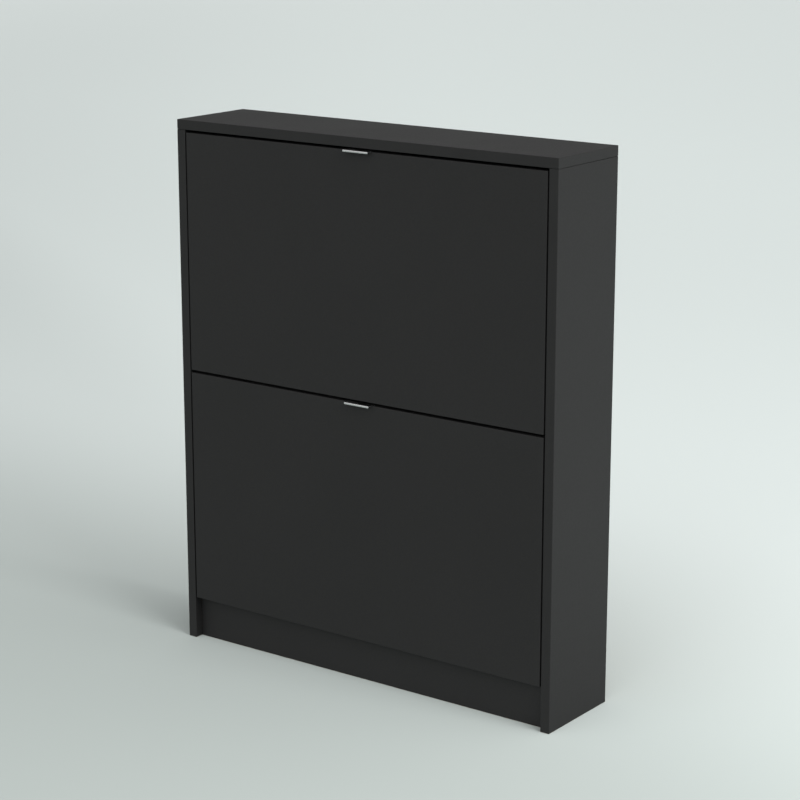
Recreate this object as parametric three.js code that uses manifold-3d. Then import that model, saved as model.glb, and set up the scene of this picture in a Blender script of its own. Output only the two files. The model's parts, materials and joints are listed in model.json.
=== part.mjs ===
// Slim shoe cabinet with two tilting flaps.
// Millimetres, +Z up, +X to the right, the doors face -Y.
// The origin is on the floor, at the middle of the bounding box.
import * as THREE from 'three';
import { mergeVertices } from 'three/addons/utils/BufferGeometryUtils.js';
import Module from 'manifold-3d';

const wasm = await Module();
wasm.setup();

// ---------------------------------------------------------------- dimensions
const WIDTH = 702;            // over the side panels
const HEIGHT = 850;           // floor to the top face
const DEPTH = 158;            // front edges to rear edges of the side panels
const BOARD = 15.4;           // melamine-faced board
const GAP = 0.3;              // kept between pieces that touch

const PULL_REACH = 10;        // how far the pull stands out in front of the doors
const PULL_WIDTH = 46;
const PULL_X = 4.7;           // middle of the pull, right of the cabinet's middle
const PULL_SHEET = 1.2;
const PULL_TOP = 1.5;         // top face of the pull above the door's top edge
const PULL_LIP = 3.0;         // height of the turned-down lip
const PULL_FLANGE = 16;       // rear flange, down the back of the door

const DOOR_W = 666;
const DOOR_H = 378;
const LOWER_DOOR_Z = 69.8;    // bottom edge of the lower door
const UPPER_DOOR_Z = 452.3;   // bottom edge of the upper door

const PLINTH_H = 65;
const PLINTH_SET_BACK = 14.4;
const RAIL_H = 60;
const RAIL_DEPTH = 131.3;     // front face of the rear rails, from the front plane
const BACK_T = 3;
const BACK_DEPTH = 147;       // front face of the back boards, from the front plane
const GROOVE_DEEP = 7;
const BACK_JOINT_Z = 450;     // where the two back boards meet

const TILT_DEG = 42;          // full opening of a flap
const PIVOT_BACK = 20;        // pivot behind the door's front face
const PIVOT_RISE = 80;        // pivot above the door's bottom edge
const TRUNNION_R = 3.85;
const BUSH_BORE_R = 4.0;
const BUSH_R = 5.9;
const BUSH_FLANGE_R = 8.5;
const STOP_PIN_R = 2.5;
const STOP_ARC_R = 75;        // stop pin from the pivot
const STOP_ANGLE = 50;        // stop pin above the horizontal, closed
const BRACKET_T = 2.5;
const BIN_FLOOR_T = 12;
const BIN_FLOOR_DROP = 57;    // underside of the bin floor below the pivot
const BIN_BACK_T = 3;
const BIN_BACK_AT = 98;       // front face of the bin's back board behind the pivot
const BIN_BACK_TOP = 165;     // top edge of the bin's back board above the pivot

// ---------------------------------------------------------------- derived
const FRONT = PULL_REACH - (DEPTH + PULL_REACH) / 2;   // y of the front plane
const yAt = (depth) => FRONT + depth;
const HALF = WIDTH / 2;
const INNER = HALF - BOARD;                            // inner faces of the sides
const TOP_UNDER = HEIGHT - BOARD;
const pivotZ = (doorZ) => doorZ + PIVOT_RISE;

// ---------------------------------------------------------------- materials
const melamine = () => new THREE.MeshStandardMaterial({ color: 0x2b2b2b, roughness: 0.6, metalness: 0 });
const hdf = () => new THREE.MeshStandardMaterial({ color: 0x6b4a30, roughness: 0.8, metalness: 0 });
const moulded = () => new THREE.MeshStandardMaterial({ color: 0x1c1c1d, roughness: 0.5, metalness: 0 });
const rubbery = () => new THREE.MeshStandardMaterial({ color: 0x242424, roughness: 0.9, metalness: 0 });
const zinc = () => new THREE.MeshStandardMaterial({ color: 0xa8a9aa, roughness: 0.4, metalness: 1 });
const satin = () => new THREE.MeshStandardMaterial({ color: 0xc4c4c4, roughness: 0.35, metalness: 1 });

// ---------------------------------------------------------------- solids
// One closed set of triangles with shared corners and no slivers of zero area.
function tidy(geometry) {
  let g = geometry.clone();
  for (const key of Object.keys(g.attributes)) if (key !== 'position') g.deleteAttribute(key);
  g = mergeVertices(g, 1e-4);
  const p = g.getAttribute('position').array;
  const src = g.index.array;
  const tri = [];
  for (let i = 0; i < src.length; i += 3) {
    const [a, b, c] = [src[i], src[i + 1], src[i + 2]];
    if (a !== b && b !== c && c !== a) tri.push(a, b, c);
  }
  return { vertProperties: new Float32Array(p), triVerts: new Uint32Array(tri) };
}
function solid(geometry) {
  const { vertProperties, triVerts } = tidy(geometry);
  return new wasm.Manifold(new wasm.Mesh({ numProp: 3, vertProperties, triVerts }));
}
function toGeometry(manifold) {
  const m = manifold.getMesh();
  const g = new THREE.BufferGeometry();
  const pos = new Float32Array((m.vertProperties.length / m.numProp) * 3);
  for (let i = 0, j = 0; i < m.vertProperties.length; i += m.numProp, j += 3) {
    pos[j] = m.vertProperties[i]; pos[j + 1] = m.vertProperties[i + 1]; pos[j + 2] = m.vertProperties[i + 2];
  }
  g.setAttribute('position', new THREE.BufferAttribute(pos, 3));
  g.setIndex(new THREE.BufferAttribute(new Uint32Array(m.triVerts), 1));
  return g;
}
function join(...parts) { return parts.map(solid).reduce((a, b) => a.add(b)); }
function cut(body, ...tools) {
  let m = body instanceof THREE.BufferGeometry ? solid(body) : body;
  for (const t of tools) m = m.subtract(t instanceof THREE.BufferGeometry ? solid(t) : t);
  return m;
}

// A block between two corners, whichever way round they are given.
function block(xa, xb, ya, yb, za, zb) {
  const g = new THREE.BoxGeometry(Math.abs(xb - xa), Math.abs(yb - ya), Math.abs(zb - za));
  return g.translate((xa + xb) / 2, (ya + yb) / 2, (za + zb) / 2);
}
// An outline in (y, z), given as pairs, carried from xa to xb.
function prismX(outline, xa, xb, holes = []) {
  const shape = new THREE.Shape(outline.map(([y, z]) => new THREE.Vector2(y, z)));
  for (const h of holes) shape.holes.push(new THREE.Path(h.map(([y, z]) => new THREE.Vector2(y, z))));
  const g = new THREE.ExtrudeGeometry(shape, { depth: Math.abs(xb - xa), bevelEnabled: false, curveSegments: 12 });
  const m = new THREE.Matrix4().makeBasis(
    new THREE.Vector3(0, 1, 0), new THREE.Vector3(0, 0, 1), new THREE.Vector3(1, 0, 0));
  return g.applyMatrix4(m).translate(Math.min(xa, xb), 0, 0);
}
// A round bar along X, Y or Z from a to b; the other two coordinates are u and v.
function bar(axis, radius, a, b, u, v, sides = 20) {
  const g = new THREE.CylinderGeometry(radius, radius, Math.abs(b - a), sides);
  const mid = (a + b) / 2;
  if (axis === 'x') return g.rotateZ(Math.PI / 2).translate(mid, u, v);
  if (axis === 'y') return g.translate(u, mid, v);
  return g.rotateX(Math.PI / 2).translate(u, v, mid);
}
// The same for a hole: the flats of the facets lie on the radius.
function hole(axis, radius, a, b, u, v, sides = 20) {
  return bar(axis, radius / Math.cos(Math.PI / sides), a, b, u, v, sides);
}
// A turned piece. The profile is [radius, height] pairs from the foot of the
// axis to its head; the head then points along +X, -X, +Y or +Z.
function turned(profile, direction, sides = 20) {
  const g = new THREE.LatheGeometry(profile.map(([r, h]) => new THREE.Vector2(r, h)), sides);
  if (direction === '+x') g.rotateZ(-Math.PI / 2);
  if (direction === '-x') g.rotateZ(Math.PI / 2);
  if (direction === '+z') g.rotateX(Math.PI / 2);
  return g;
}

function piece(name, shape, material, parent, x = 0, y = 0, z = 0) {
  const t = tidy(shape instanceof THREE.BufferGeometry ? shape : toGeometry(shape));
  const g = new THREE.BufferGeometry();
  g.setAttribute('position', new THREE.BufferAttribute(t.vertProperties, 3));
  g.setIndex(new THREE.BufferAttribute(t.triVerts, 1));
  g.computeVertexNormals();
  const m = new THREE.Mesh(g, material);
  m.name = name;
  m.position.set(x, y, z);
  parent.add(m);
  return m;
}

// ---------------------------------------------------------------- fasteners
const SCREW_R = 1.6, SCREW_HEAD_R = 3.6, SCREW_HEAD_H = 2.1;
// Pan head screw along Y, driven towards -Y. The origin is on the face under its head.
function panScrew(length) {
  return turned([
    [0, -length], [SCREW_R * 0.45, -length + 0.6], [SCREW_R, -length + 3], [SCREW_R, GAP],
    [SCREW_HEAD_R, GAP], [SCREW_HEAD_R, GAP + SCREW_HEAD_H * 0.45],
    [SCREW_HEAD_R * 0.72, GAP + SCREW_HEAD_H * 0.9], [SCREW_HEAD_R * 0.3, GAP + SCREW_HEAD_H], [0, GAP + SCREW_HEAD_H],
  ], '+y', 10);
}
const CAM_R = 7.3, CAM_POCKET_R = 7.6, CAM_DEEP = 12.2, CAM_REACH = 34;
const CAM_BOLT_R = 3.0, CAM_BOLT_BORE_R = 3.6, CAM_THREAD_R = 2.6, CAM_THREAD_BORE_R = 3.0, CAM_THREAD_L = 11;

// ---------------------------------------------------------------- carcass
const cabinet = new THREE.Group();
const carcass = new THREE.Group();
cabinet.add(carcass);

const camDepths = [40, 110];                 // top connectors, from the front plane
const camZ = TOP_UNDER - GAP - CAM_REACH;    // middle of their drums
const railTopZ = [TOP_UNDER - GAP - RAIL_H, TOP_UNDER - GAP];
const railMidZ = [BACK_JOINT_Z - RAIL_H / 2, BACK_JOINT_Z + RAIL_H / 2];
const plinthMid = PLINTH_SET_BACK + BOARD / 2;
const railMid = RAIL_DEPTH + BOARD / 2;
const boltRows = [                            // connector bolts that enter the sides: [depth, z]
  [plinthMid, PLINTH_H / 2],
  [railMid, (railTopZ[0] + railTopZ[1]) / 2],
  [railMid, (railMidZ[0] + railMidZ[1]) / 2],
];
const stopY = STOP_ARC_R * Math.cos(THREE.MathUtils.degToRad(STOP_ANGLE));
const stopZ = STOP_ARC_R * Math.sin(THREE.MathUtils.degToRad(STOP_ANGLE));
const BUFFER_R = 4, BUFFER_DROP = 30;
const bufferDepth = BOARD + GAP + BUFFER_R;

for (const [side, s] of [['left', -1], ['right', 1]]) {
  const inner = s * INNER;
  const out = (mm) => s * (INNER + mm);       // measured outwards from the inner face
  const cuts = [
    // groove for the back boards
    block(out(-1), out(GROOVE_DEEP), yAt(BACK_DEPTH - GAP), yAt(BACK_DEPTH + BACK_T + GAP), -1, HEIGHT),
  ];
  for (const doorZ of [LOWER_DOOR_Z, UPPER_DOOR_Z]) {
    const pz = pivotZ(doorZ);
    cuts.push(hole('x', BUSH_R + GAP, out(-1), out(10.9), yAt(PIVOT_BACK), pz, 16));
    cuts.push(hole('x', STOP_PIN_R + GAP, out(-1), out(10.3), yAt(PIVOT_BACK) + stopY, pz + stopZ, 10));
    cuts.push(hole('x', 2.5 + GAP, out(-1), out(8.3), yAt(bufferDepth), doorZ + DOOR_H - BUFFER_DROP, 10));
  }
  for (const d of camDepths) {
    cuts.push(hole('x', CAM_POCKET_R, out(-1), out(CAM_DEEP + GAP + 0.3), yAt(d), camZ, 16));
    cuts.push(hole('z', CAM_BOLT_BORE_R, camZ, HEIGHT, s * (INNER + BOARD / 2), yAt(d), 8));
  }
  for (const [d, z] of boltRows) cuts.push(hole('x', CAM_THREAD_BORE_R, out(-1), out(CAM_THREAD_L + GAP), yAt(d), z, 8));
  piece(`side_panel_${side}`,
    cut(block(inner, s * HALF, yAt(0), yAt(DEPTH), 0, TOP_UNDER - GAP), ...cuts), melamine(), carcass);

  // connectors that pull the top down on the sides: drum and bolt, tightened together
  for (const [where, d] of [['front', camDepths[0]], ['rear', camDepths[1]]]) {
    const cam = join(
      bar('x', CAM_R, out(GAP), out(GAP + CAM_DEEP), yAt(d), camZ, 16),
      bar('z', CAM_BOLT_R, camZ, TOP_UNDER - GAP, s * (INNER + BOARD / 2), yAt(d), 8),
      bar('z', CAM_THREAD_R, TOP_UNDER - 1, TOP_UNDER + CAM_THREAD_L - GAP, s * (INNER + BOARD / 2), yAt(d), 8));
    const slot = block(out(GAP - 1), out(GAP + 1.6), yAt(d) - 4.2, yAt(d) + 4.2, camZ - 0.7, camZ + 0.7);
    const cross = block(out(GAP - 1), out(GAP + 1.6), yAt(d) - 0.7, yAt(d) + 0.7, camZ - 4.2, camZ + 4.2);
    piece(`top_cam_${side}_${where}`, cut(cam, slot, cross), zinc(), carcass);
  }

  // connectors of the plinth and the two upper rails, drums let into their rear faces
  const rows = [
    ['plinth_cam', PLINTH_SET_BACK, PLINTH_H / 2],
    ['rail_top_cam', RAIL_DEPTH, boltRows[1][1]],
    ['rail_middle_cam', RAIL_DEPTH, boltRows[2][1]],
  ];
  for (const [name, depth, z] of rows) {
    const cx = out(-CAM_REACH);
    const rear = yAt(depth + BOARD - GAP);
    const cam = join(
      bar('y', CAM_R, rear - CAM_DEEP, rear, cx, z, 16),
      bar('x', CAM_BOLT_R, cx, out(-GAP), yAt(depth + BOARD / 2), z, 8),
      bar('x', CAM_THREAD_R, out(-1), out(CAM_THREAD_L - GAP), yAt(depth + BOARD / 2), z, 8));
    const slot = block(cx - 4.2, cx + 4.2, rear - 1.6, rear + 1, z - 0.7, z + 0.7);
    const cross = block(cx - 0.7, cx + 0.7, rear - 1.6, rear + 1, z - 4.2, z + 4.2);
    piece(`${name}_${side}`, cut(cam, slot, cross), zinc(), carcass);
  }

  for (const [level, doorZ] of [['lower', LOWER_DOOR_Z], ['upper', UPPER_DOOR_Z]]) {
    const pz = pivotZ(doorZ);
    const dir = s > 0 ? '+x' : '-x';
    // flanged bush, a cup whose mouth faces the flap; heights run outwards from the inner face
    piece(`pivot_bush_${level}_${side}`, turned([
      [0, 10.6], [BUSH_R, 10.6], [BUSH_R, -GAP], [BUSH_FLANGE_R, -GAP], [BUSH_FLANGE_R, -GAP - 0.5],
      [BUSH_FLANGE_R - 0.5, -GAP - 0.9], [BUSH_BORE_R + 0.3, -GAP - 0.9], [BUSH_BORE_R / Math.cos(Math.PI / 20), -GAP - 0.5],
      [BUSH_BORE_R / Math.cos(Math.PI / 20), 9.7], [0, 9.7],
    ].reverse(), dir, 20), moulded(), carcass, inner, yAt(PIVOT_BACK), pz);
    // stop pin, through the arc slot of the bracket
    piece(`stop_pin_${level}_${side}`, turned([
      [0, -5.6], [STOP_PIN_R - 0.5, -5.6], [STOP_PIN_R, -5.1], [STOP_PIN_R, 9.5], [STOP_PIN_R - 0.5, 10], [0, 10],
    ], dir, 12), zinc(), carcass, inner, yAt(PIVOT_BACK) + stopY, pz + stopZ);
    // buffer peg behind the top corner of the door
    piece(`door_buffer_${level}_${side}`, turned([
      [0, -8], [BUFFER_R - 1, -8], [BUFFER_R, -7], [BUFFER_R, -GAP], [2.5, -GAP], [2.5, 7.5], [2, 8], [0, 8],
    ], dir, 12), rubbery(), carcass, inner, yAt(bufferDepth), doorZ + DOOR_H - BUFFER_DROP);
  }
}

// top panel over the sides, grooved for the upper back board
{
  const cuts = [block(-INNER - GROOVE_DEEP, INNER + GROOVE_DEEP,
    yAt(BACK_DEPTH - GAP), yAt(BACK_DEPTH + BACK_T + GAP), TOP_UNDER - 1, TOP_UNDER + GROOVE_DEEP)];
  for (const s of [-1, 1]) for (const d of camDepths) {
    cuts.push(hole('z', CAM_THREAD_BORE_R, TOP_UNDER - 1, TOP_UNDER + CAM_THREAD_L, s * (INNER + BOARD / 2), yAt(d), 8));
  }
  piece('top_panel', cut(block(-HALF, HALF, yAt(0), yAt(DEPTH), TOP_UNDER, HEIGHT), ...cuts), melamine(), carcass);
}

// boards between the sides
const HANGER_X = 25, HANGER_Z = (railTopZ[0] + railTopZ[1]) / 2;
function crossBoard(name, depth, z0, z1, drums, extra = []) {
  const cuts = [...extra];
  if (drums) for (const s of [-1, 1]) {
    const cx = s * (INNER - CAM_REACH), z = (z0 + z1) / 2;
    cuts.push(hole('y', CAM_POCKET_R, yAt(depth + BOARD - CAM_DEEP - GAP - 0.3), yAt(depth + BOARD + 1), cx, z, 16));
    cuts.push(hole('x', CAM_BOLT_BORE_R, cx, s * (INNER + 1), yAt(depth + BOARD / 2), z, 8));
  }
  const b = block(-INNER + GAP, INNER - GAP, yAt(depth), yAt(depth + BOARD), z0, z1);
  piece(name, cuts.length ? cut(b, ...cuts) : b, melamine(), carcass);
}
crossBoard('plinth_board', PLINTH_SET_BACK, 0, PLINTH_H, true);
crossBoard('rear_rail_top', RAIL_DEPTH, ...railTopZ, true, [-1, 1].map((s) =>
  hole('y', SCREW_R + GAP, yAt(140), yAt(RAIL_DEPTH + BOARD + 1), s * HANGER_X, HANGER_Z, 8)));
crossBoard('rear_rail_middle', RAIL_DEPTH, ...railMidZ, true);
crossBoard('rear_rail_bottom', RAIL_DEPTH, 0, PLINTH_H, false);

// back boards in the grooves, and the strip that joins them
const backX = INNER + GROOVE_DEEP - 0.5;
piece('back_panel_lower', block(-backX, backX, yAt(BACK_DEPTH), yAt(BACK_DEPTH + BACK_T), 5, BACK_JOINT_Z - 0.9), hdf(), carcass);
piece('back_panel_upper', cut(
  block(-backX, backX, yAt(BACK_DEPTH), yAt(BACK_DEPTH + BACK_T), BACK_JOINT_Z + 0.9, TOP_UNDER + GROOVE_DEEP - 0.5),
  ...[-1, 1].map((s) => hole('y', SCREW_R + GAP, yAt(BACK_DEPTH - 1), yAt(BACK_DEPTH + BACK_T + 1), s * HANGER_X, HANGER_Z, 8))),
hdf(), carcass);
{
  const rear = BACK_DEPTH + BACK_T + GAP;
  const half = 9, web = 0.6, t = 1;
  const y0 = yAt(BACK_DEPTH + 0.2), y1 = yAt(rear), y2 = yAt(rear + t);
  piece('back_joint_strip', prismX([
    [y1, -half], [y2, -half], [y2, half], [y1, half], [y1, web], [y0, web], [y0, -web], [y1, -web],
  ], -INNER + GAP, INNER - GAP), moulded(), carcass, 0, 0, BACK_JOINT_Z);
}

// joggled hanger plate with a keyhole, screwed through the back board into the top rail
{
  const t = 1.5, foot = 30, bend0 = 19.5, bend1 = 16.5, step = 3.2, halfH = 13;
  const outline = [
    [-foot, 0], [-bend0, 0], [-bend1, step], [bend1, step], [bend0, 0], [foot, 0],
    [foot, t], [bend0 + 0.5, t], [bend1 + 0.5, step + t], [-bend1 - 0.5, step + t], [-bend0 - 0.5, t], [-foot, t],
  ];
  const shape = new THREE.Shape(outline.map(([x, y]) => new THREE.Vector2(x, y)));
  const g = new THREE.ExtrudeGeometry(shape, { depth: 2 * halfH, bevelEnabled: false }).translate(0, 0, -halfH);
  const plate = cut(g,
    hole('y', 4.5, -2, 8, 0, -4, 20), hole('y', 2.3, -2, 8, 0, 5, 14), block(-2.3, 2.3, -2, 8, -4, 5),
    ...[-1, 1].map((s) => hole('y', SCREW_R + GAP, -2, 4, s * HANGER_X, 0, 8)));
  piece('wall_hanger_plate', plate, zinc(), carcass, 0, yAt(BACK_DEPTH + BACK_T + GAP), HANGER_Z);
  for (const [side, s] of [['left', -1], ['right', 1]]) {
    piece(`hanger_screw_${side}`, panScrew(11.3), zinc(), carcass,
      s * HANGER_X, yAt(BACK_DEPTH + BACK_T + GAP + t), HANGER_Z);
  }
}

// ---------------------------------------------------------------- flaps
// A flap is drawn about its pivot: the group's origin is on the pivot axis.
function makeFlap(level, doorZ) {
  const flap = new THREE.Group();
  flap.position.set(0, yAt(PIVOT_BACK), pivotZ(doorZ));
  const face = -PIVOT_BACK;                 // door's front face
  const back = face + BOARD;                // door's back face
  const low = -PIVOT_RISE, high = DOOR_H - PIVOT_RISE;
  const flange = back + GAP;                // front face of the bracket's flange
  const FLANGE_T = 2, FLANGE_IN = 22, RIB = 2, RIB_IN = 12;
  const screwX = DOOR_W / 2 - 13, screwZ = [20, 195];
  const pullScrewX = 14, pullScrewZ = high - 9.5;
  const endX = DOOR_W / 2;                  // outer face of the bracket plates

  // door with blind pilot holes in its back
  const pilots = [];
  for (const s of [-1, 1]) {
    for (const z of screwZ) pilots.push(hole('y', SCREW_R + GAP, back - 11, back + 1, s * screwX, z, 8));
    pilots.push(hole('y', SCREW_R + GAP, back - 11, back + 1, PULL_X + s * pullScrewX, pullScrewZ, 8));
  }
  piece(`${level}_door_panel`,
    cut(block(-DOOR_W / 2, DOOR_W / 2, face, back, low, high), ...pilots), melamine(), flap);

  // pull: lip, plate over the door's top edge, flange down its back
  {
    const f = face - PULL_REACH, t = PULL_SHEET, top = high + PULL_TOP, b = back + GAP;
    const section = [
      [f, top - PULL_LIP], [f + t, top - PULL_LIP], [f + t, top - t], [b, top - t], [b, high - PULL_FLANGE],
      [b + t, high - PULL_FLANGE], [b + t, top], [f + 0.3, top], [f, top - 0.3],
    ];
    const blank = prismX(section, PULL_X - PULL_WIDTH / 2, PULL_X + PULL_WIDTH / 2);
    piece(`${level}_pull`, cut(blank, ...[-1, 1].map((s) =>
      hole('y', SCREW_R + GAP, b - 1, b + t + 1, PULL_X + s * pullScrewX, pullScrewZ, 8))), satin(), flap);
    for (const [side, s] of [['left', -1], ['right', 1]]) {
      piece(`${level}_pull_screw_${side}`, panScrew(11), zinc(), flap, PULL_X + s * pullScrewX, b + t, pullScrewZ);
    }
  }

  // bin boards
  const floorLow = -BIN_FLOOR_DROP, floorHigh = floorLow + BIN_FLOOR_T;
  const backIn = BIN_BACK_AT, backOut = BIN_BACK_AT + BIN_BACK_T;
  const boardX = endX - BRACKET_T - GAP;
  piece(`${level}_bin_floor_board`,
    block(-boardX, boardX, flange + FLANGE_T + GAP, backIn - GAP, floorLow, floorHigh), melamine(), flap);
  piece(`${level}_bin_back_board`,
    block(-boardX, boardX, backIn, backOut, floorLow, BIN_BACK_TOP), hdf(), flap);

  // moulded brackets
  const plateLow = floorLow - GAP - RIB, plateRear = backOut + GAP + RIB;
  const topCurve = new THREE.CubicBezierCurve(
    new THREE.Vector2(plateRear, BIN_BACK_TOP + 3), new THREE.Vector2(80, 172),
    new THREE.Vector2(52, 222), new THREE.Vector2(12, 226)).getPoints(8).map((p) => [p.x, p.y]);
  const outline = [[flange, plateLow], [plateRear, plateLow], ...topCurve, [flange, 226]];
  // arc slot in the bracket's own frame: the pin travels from its closed angle down by the tilt
  const slotHalf = STOP_PIN_R + 0.5;
  const a0 = THREE.MathUtils.degToRad(STOP_ANGLE), a1 = THREE.MathUtils.degToRad(STOP_ANGLE - TILT_DEG);
  const slot = [];
  const steps = 8;
  for (let i = 0; i <= steps; i++) { const a = a1 + (a0 - a1) * i / steps; slot.push([(STOP_ARC_R + slotHalf) * Math.cos(a), (STOP_ARC_R + slotHalf) * Math.sin(a)]); }
  for (let i = 1; i < 6; i++) { const b = a0 + Math.PI * i / 6; slot.push([STOP_ARC_R * Math.cos(a0) + slotHalf * Math.cos(b), STOP_ARC_R * Math.sin(a0) + slotHalf * Math.sin(b)]); }
  for (let i = steps; i >= 0; i--) { const a = a1 + (a0 - a1) * i / steps; slot.push([(STOP_ARC_R - slotHalf) * Math.cos(a), (STOP_ARC_R - slotHalf) * Math.sin(a)]); }
  for (let i = 1; i < 6; i++) { const b = a1 + Math.PI + Math.PI * i / 6; slot.push([STOP_ARC_R * Math.cos(a1) + slotHalf * Math.cos(b), STOP_ARC_R * Math.sin(a1) + slotHalf * Math.sin(b)]); }
  // stiffening rim under the curved top edge
  const rim = [...topCurve, [flange, 226], [flange, 224], ...topCurve.slice().reverse().map(([y, z], i, all) => {
    const prev = all[Math.max(i - 1, 0)], next = all[Math.min(i + 1, all.length - 1)];
    const dy = next[0] - prev[0], dz = next[1] - prev[1], l = Math.hypot(dy, dz);
    return [y + 2 * dz / l * 1, z - 2 * Math.abs(dy) / l];
  })];
  for (const [side, s] of [['left', -1], ['right', 1]]) {
    const inX = s * (endX - BRACKET_T), outX = s * endX, from = s * (endX - 1);
    const bracket = join(
      prismX(outline, inX, outX, [slot]),
      block(s * (endX - FLANGE_IN), outX, flange, flange + FLANGE_T, plateLow, 226),
      block(s * (endX - BRACKET_T - RIB_IN), from, flange + 1, plateRear, plateLow, plateLow + RIB),
      block(s * (endX - BRACKET_T - RIB_IN), from, flange + 1, backIn - GAP, floorHigh + GAP, floorHigh + GAP + RIB),
      block(s * (endX - BRACKET_T - RIB_IN), from, backIn - GAP - RIB, backIn - GAP, floorHigh + GAP, BIN_BACK_TOP),
      block(s * (endX - BRACKET_T - RIB_IN), from, backOut + GAP, plateRear, plateLow, BIN_BACK_TOP + 2),
      prismX(rim, s * (endX - BRACKET_T - 6), from),
      bar('x', 6.5, s * (endX - BRACKET_T + 0.5), s * (endX + 1.3), 0, 0, 20),
      bar('x', TRUNNION_R, s * (endX - 1), s * (INNER + 8.9), 0, 0, 20));
    piece(`${level}_bracket_${side}`, cut(bracket,
      block(s * (endX - 30), s * (endX + 2), back - 20, back + GAP, -20, 20),
      ...screwZ.map((z) => hole('y', SCREW_R + GAP, flange - 1, flange + FLANGE_T + 1, s * screwX, z, 8))), moulded(), flap);
    for (const [where, z] of [['low', screwZ[0]], ['high', screwZ[1]]]) {
      piece(`${level}_bracket_screw_${side}_${where}`, panScrew(12.5), zinc(), flap, s * screwX, flange + FLANGE_T, z);
    }
  }
  return flap;
}
cabinet.add(makeFlap('lower', LOWER_DOOR_Z));
cabinet.add(makeFlap('upper', UPPER_DOOR_Z));

export default cabinet;
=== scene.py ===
import json
import math

import bmesh
import bpy
from mathutils import Matrix, Vector


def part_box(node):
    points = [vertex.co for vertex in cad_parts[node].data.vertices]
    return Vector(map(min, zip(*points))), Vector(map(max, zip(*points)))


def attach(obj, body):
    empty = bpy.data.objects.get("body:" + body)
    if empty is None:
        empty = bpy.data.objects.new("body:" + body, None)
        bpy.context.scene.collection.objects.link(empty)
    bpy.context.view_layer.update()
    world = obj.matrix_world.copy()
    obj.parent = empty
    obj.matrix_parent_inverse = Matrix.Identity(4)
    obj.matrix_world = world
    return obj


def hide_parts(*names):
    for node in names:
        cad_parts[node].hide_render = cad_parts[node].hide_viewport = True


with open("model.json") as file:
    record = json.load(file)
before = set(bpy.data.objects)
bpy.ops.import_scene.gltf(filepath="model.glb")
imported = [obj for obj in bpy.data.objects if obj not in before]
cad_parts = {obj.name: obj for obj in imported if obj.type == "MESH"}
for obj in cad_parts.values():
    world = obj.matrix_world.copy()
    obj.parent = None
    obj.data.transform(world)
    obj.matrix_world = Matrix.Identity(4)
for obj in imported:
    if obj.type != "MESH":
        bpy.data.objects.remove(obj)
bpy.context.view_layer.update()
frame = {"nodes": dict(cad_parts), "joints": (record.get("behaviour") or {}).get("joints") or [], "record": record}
NODES = frame["nodes"]
BODY_OF = {}
for _body, _names in frame["record"]["behaviour"]["bodies"].items():
    for _n in _names:
        BODY_OF[_n] = _body
MM = 0.001

# Places that the cabinet's own boards give.
_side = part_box("side_panel_right")
_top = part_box("top_panel")
FRONT = _side[0][1]
REAR = _side[1][1]
INNER = _side[0][0]
OUTER = _side[1][0]
TOP_Z = _top[1][2]
TOP_UNDER = _top[0][2]
PIVOT_BACK = 20 * MM
PIVOTS = {}
for _j in frame["joints"]:
    PIVOTS[_j["child"]] = Vector(_j["pos_m"])


# ------------------------------------------------------------------ materials
def material(name):
    mat = bpy.data.materials.new(name)
    mat.use_nodes = True
    nt = mat.node_tree
    nt.nodes.clear()
    out = nt.nodes.new("ShaderNodeOutputMaterial")
    bsdf = nt.nodes.new("ShaderNodeBsdfPrincipled")
    nt.links.new(bsdf.outputs[0], out.inputs[0])
    return mat, nt, bsdf


def coords(nt, scale=(1, 1, 1)):
    tc = nt.nodes.new("ShaderNodeTexCoord")
    mp = nt.nodes.new("ShaderNodeMapping")
    mp.inputs["Scale"].default_value = scale
    nt.links.new(tc.outputs["Object"], mp.inputs["Vector"])
    return mp.outputs["Vector"]


def noise_tex(nt, vec, scale, detail=2.0, rough=0.5, distortion=0.0):
    n = nt.nodes.new("ShaderNodeTexNoise")
    n.inputs["Scale"].default_value = scale
    n.inputs["Detail"].default_value = detail
    n.inputs["Roughness"].default_value = rough
    n.inputs["Distortion"].default_value = distortion
    nt.links.new(vec, n.inputs["Vector"])
    return n.outputs["Fac"]


def voronoi(nt, vec, scale, feature="F1", randomness=1.0):
    n = nt.nodes.new("ShaderNodeTexVoronoi")
    n.feature = feature
    n.inputs["Scale"].default_value = scale
    n.inputs["Randomness"].default_value = randomness
    nt.links.new(vec, n.inputs["Vector"])
    return n


def ramp(nt, fac, stops):
    r = nt.nodes.new("ShaderNodeValToRGB")
    els = r.color_ramp.elements
    while len(els) < len(stops):
        els.new(0.5)
    for e, (pos, col) in zip(els, stops):
        e.position = pos
        e.color = tuple(col) + (1.0,) if len(col) == 3 else col
    nt.links.new(fac, r.inputs["Fac"])
    return r.outputs["Color"]


def span(nt, fac, lo, hi, f0=0.0, f1=1.0):
    m = nt.nodes.new("ShaderNodeMapRange")
    m.inputs["From Min"].default_value = f0
    m.inputs["From Max"].default_value = f1
    m.inputs["To Min"].default_value = lo
    m.inputs["To Max"].default_value = hi
    nt.links.new(fac, m.inputs["Value"])
    return m.outputs["Result"]


def mix_col(nt, fac, a, b, mode="MIX"):
    m = nt.nodes.new("ShaderNodeMix")
    m.data_type = "RGBA"
    m.blend_type = mode
    if isinstance(fac, (int, float)):
        m.inputs["Factor"].default_value = fac
    else:
        nt.links.new(fac, m.inputs["Factor"])
    for sock, v in (("A", a), ("B", b)):
        s = [i for i in m.inputs if i.name == sock and i.type == "RGBA"][0]
        if isinstance(v, tuple):
            s.default_value = v + (1.0,) if len(v) == 3 else v
        else:
            nt.links.new(v, s)
    return [o for o in m.outputs if o.type == "RGBA"][0]


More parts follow.
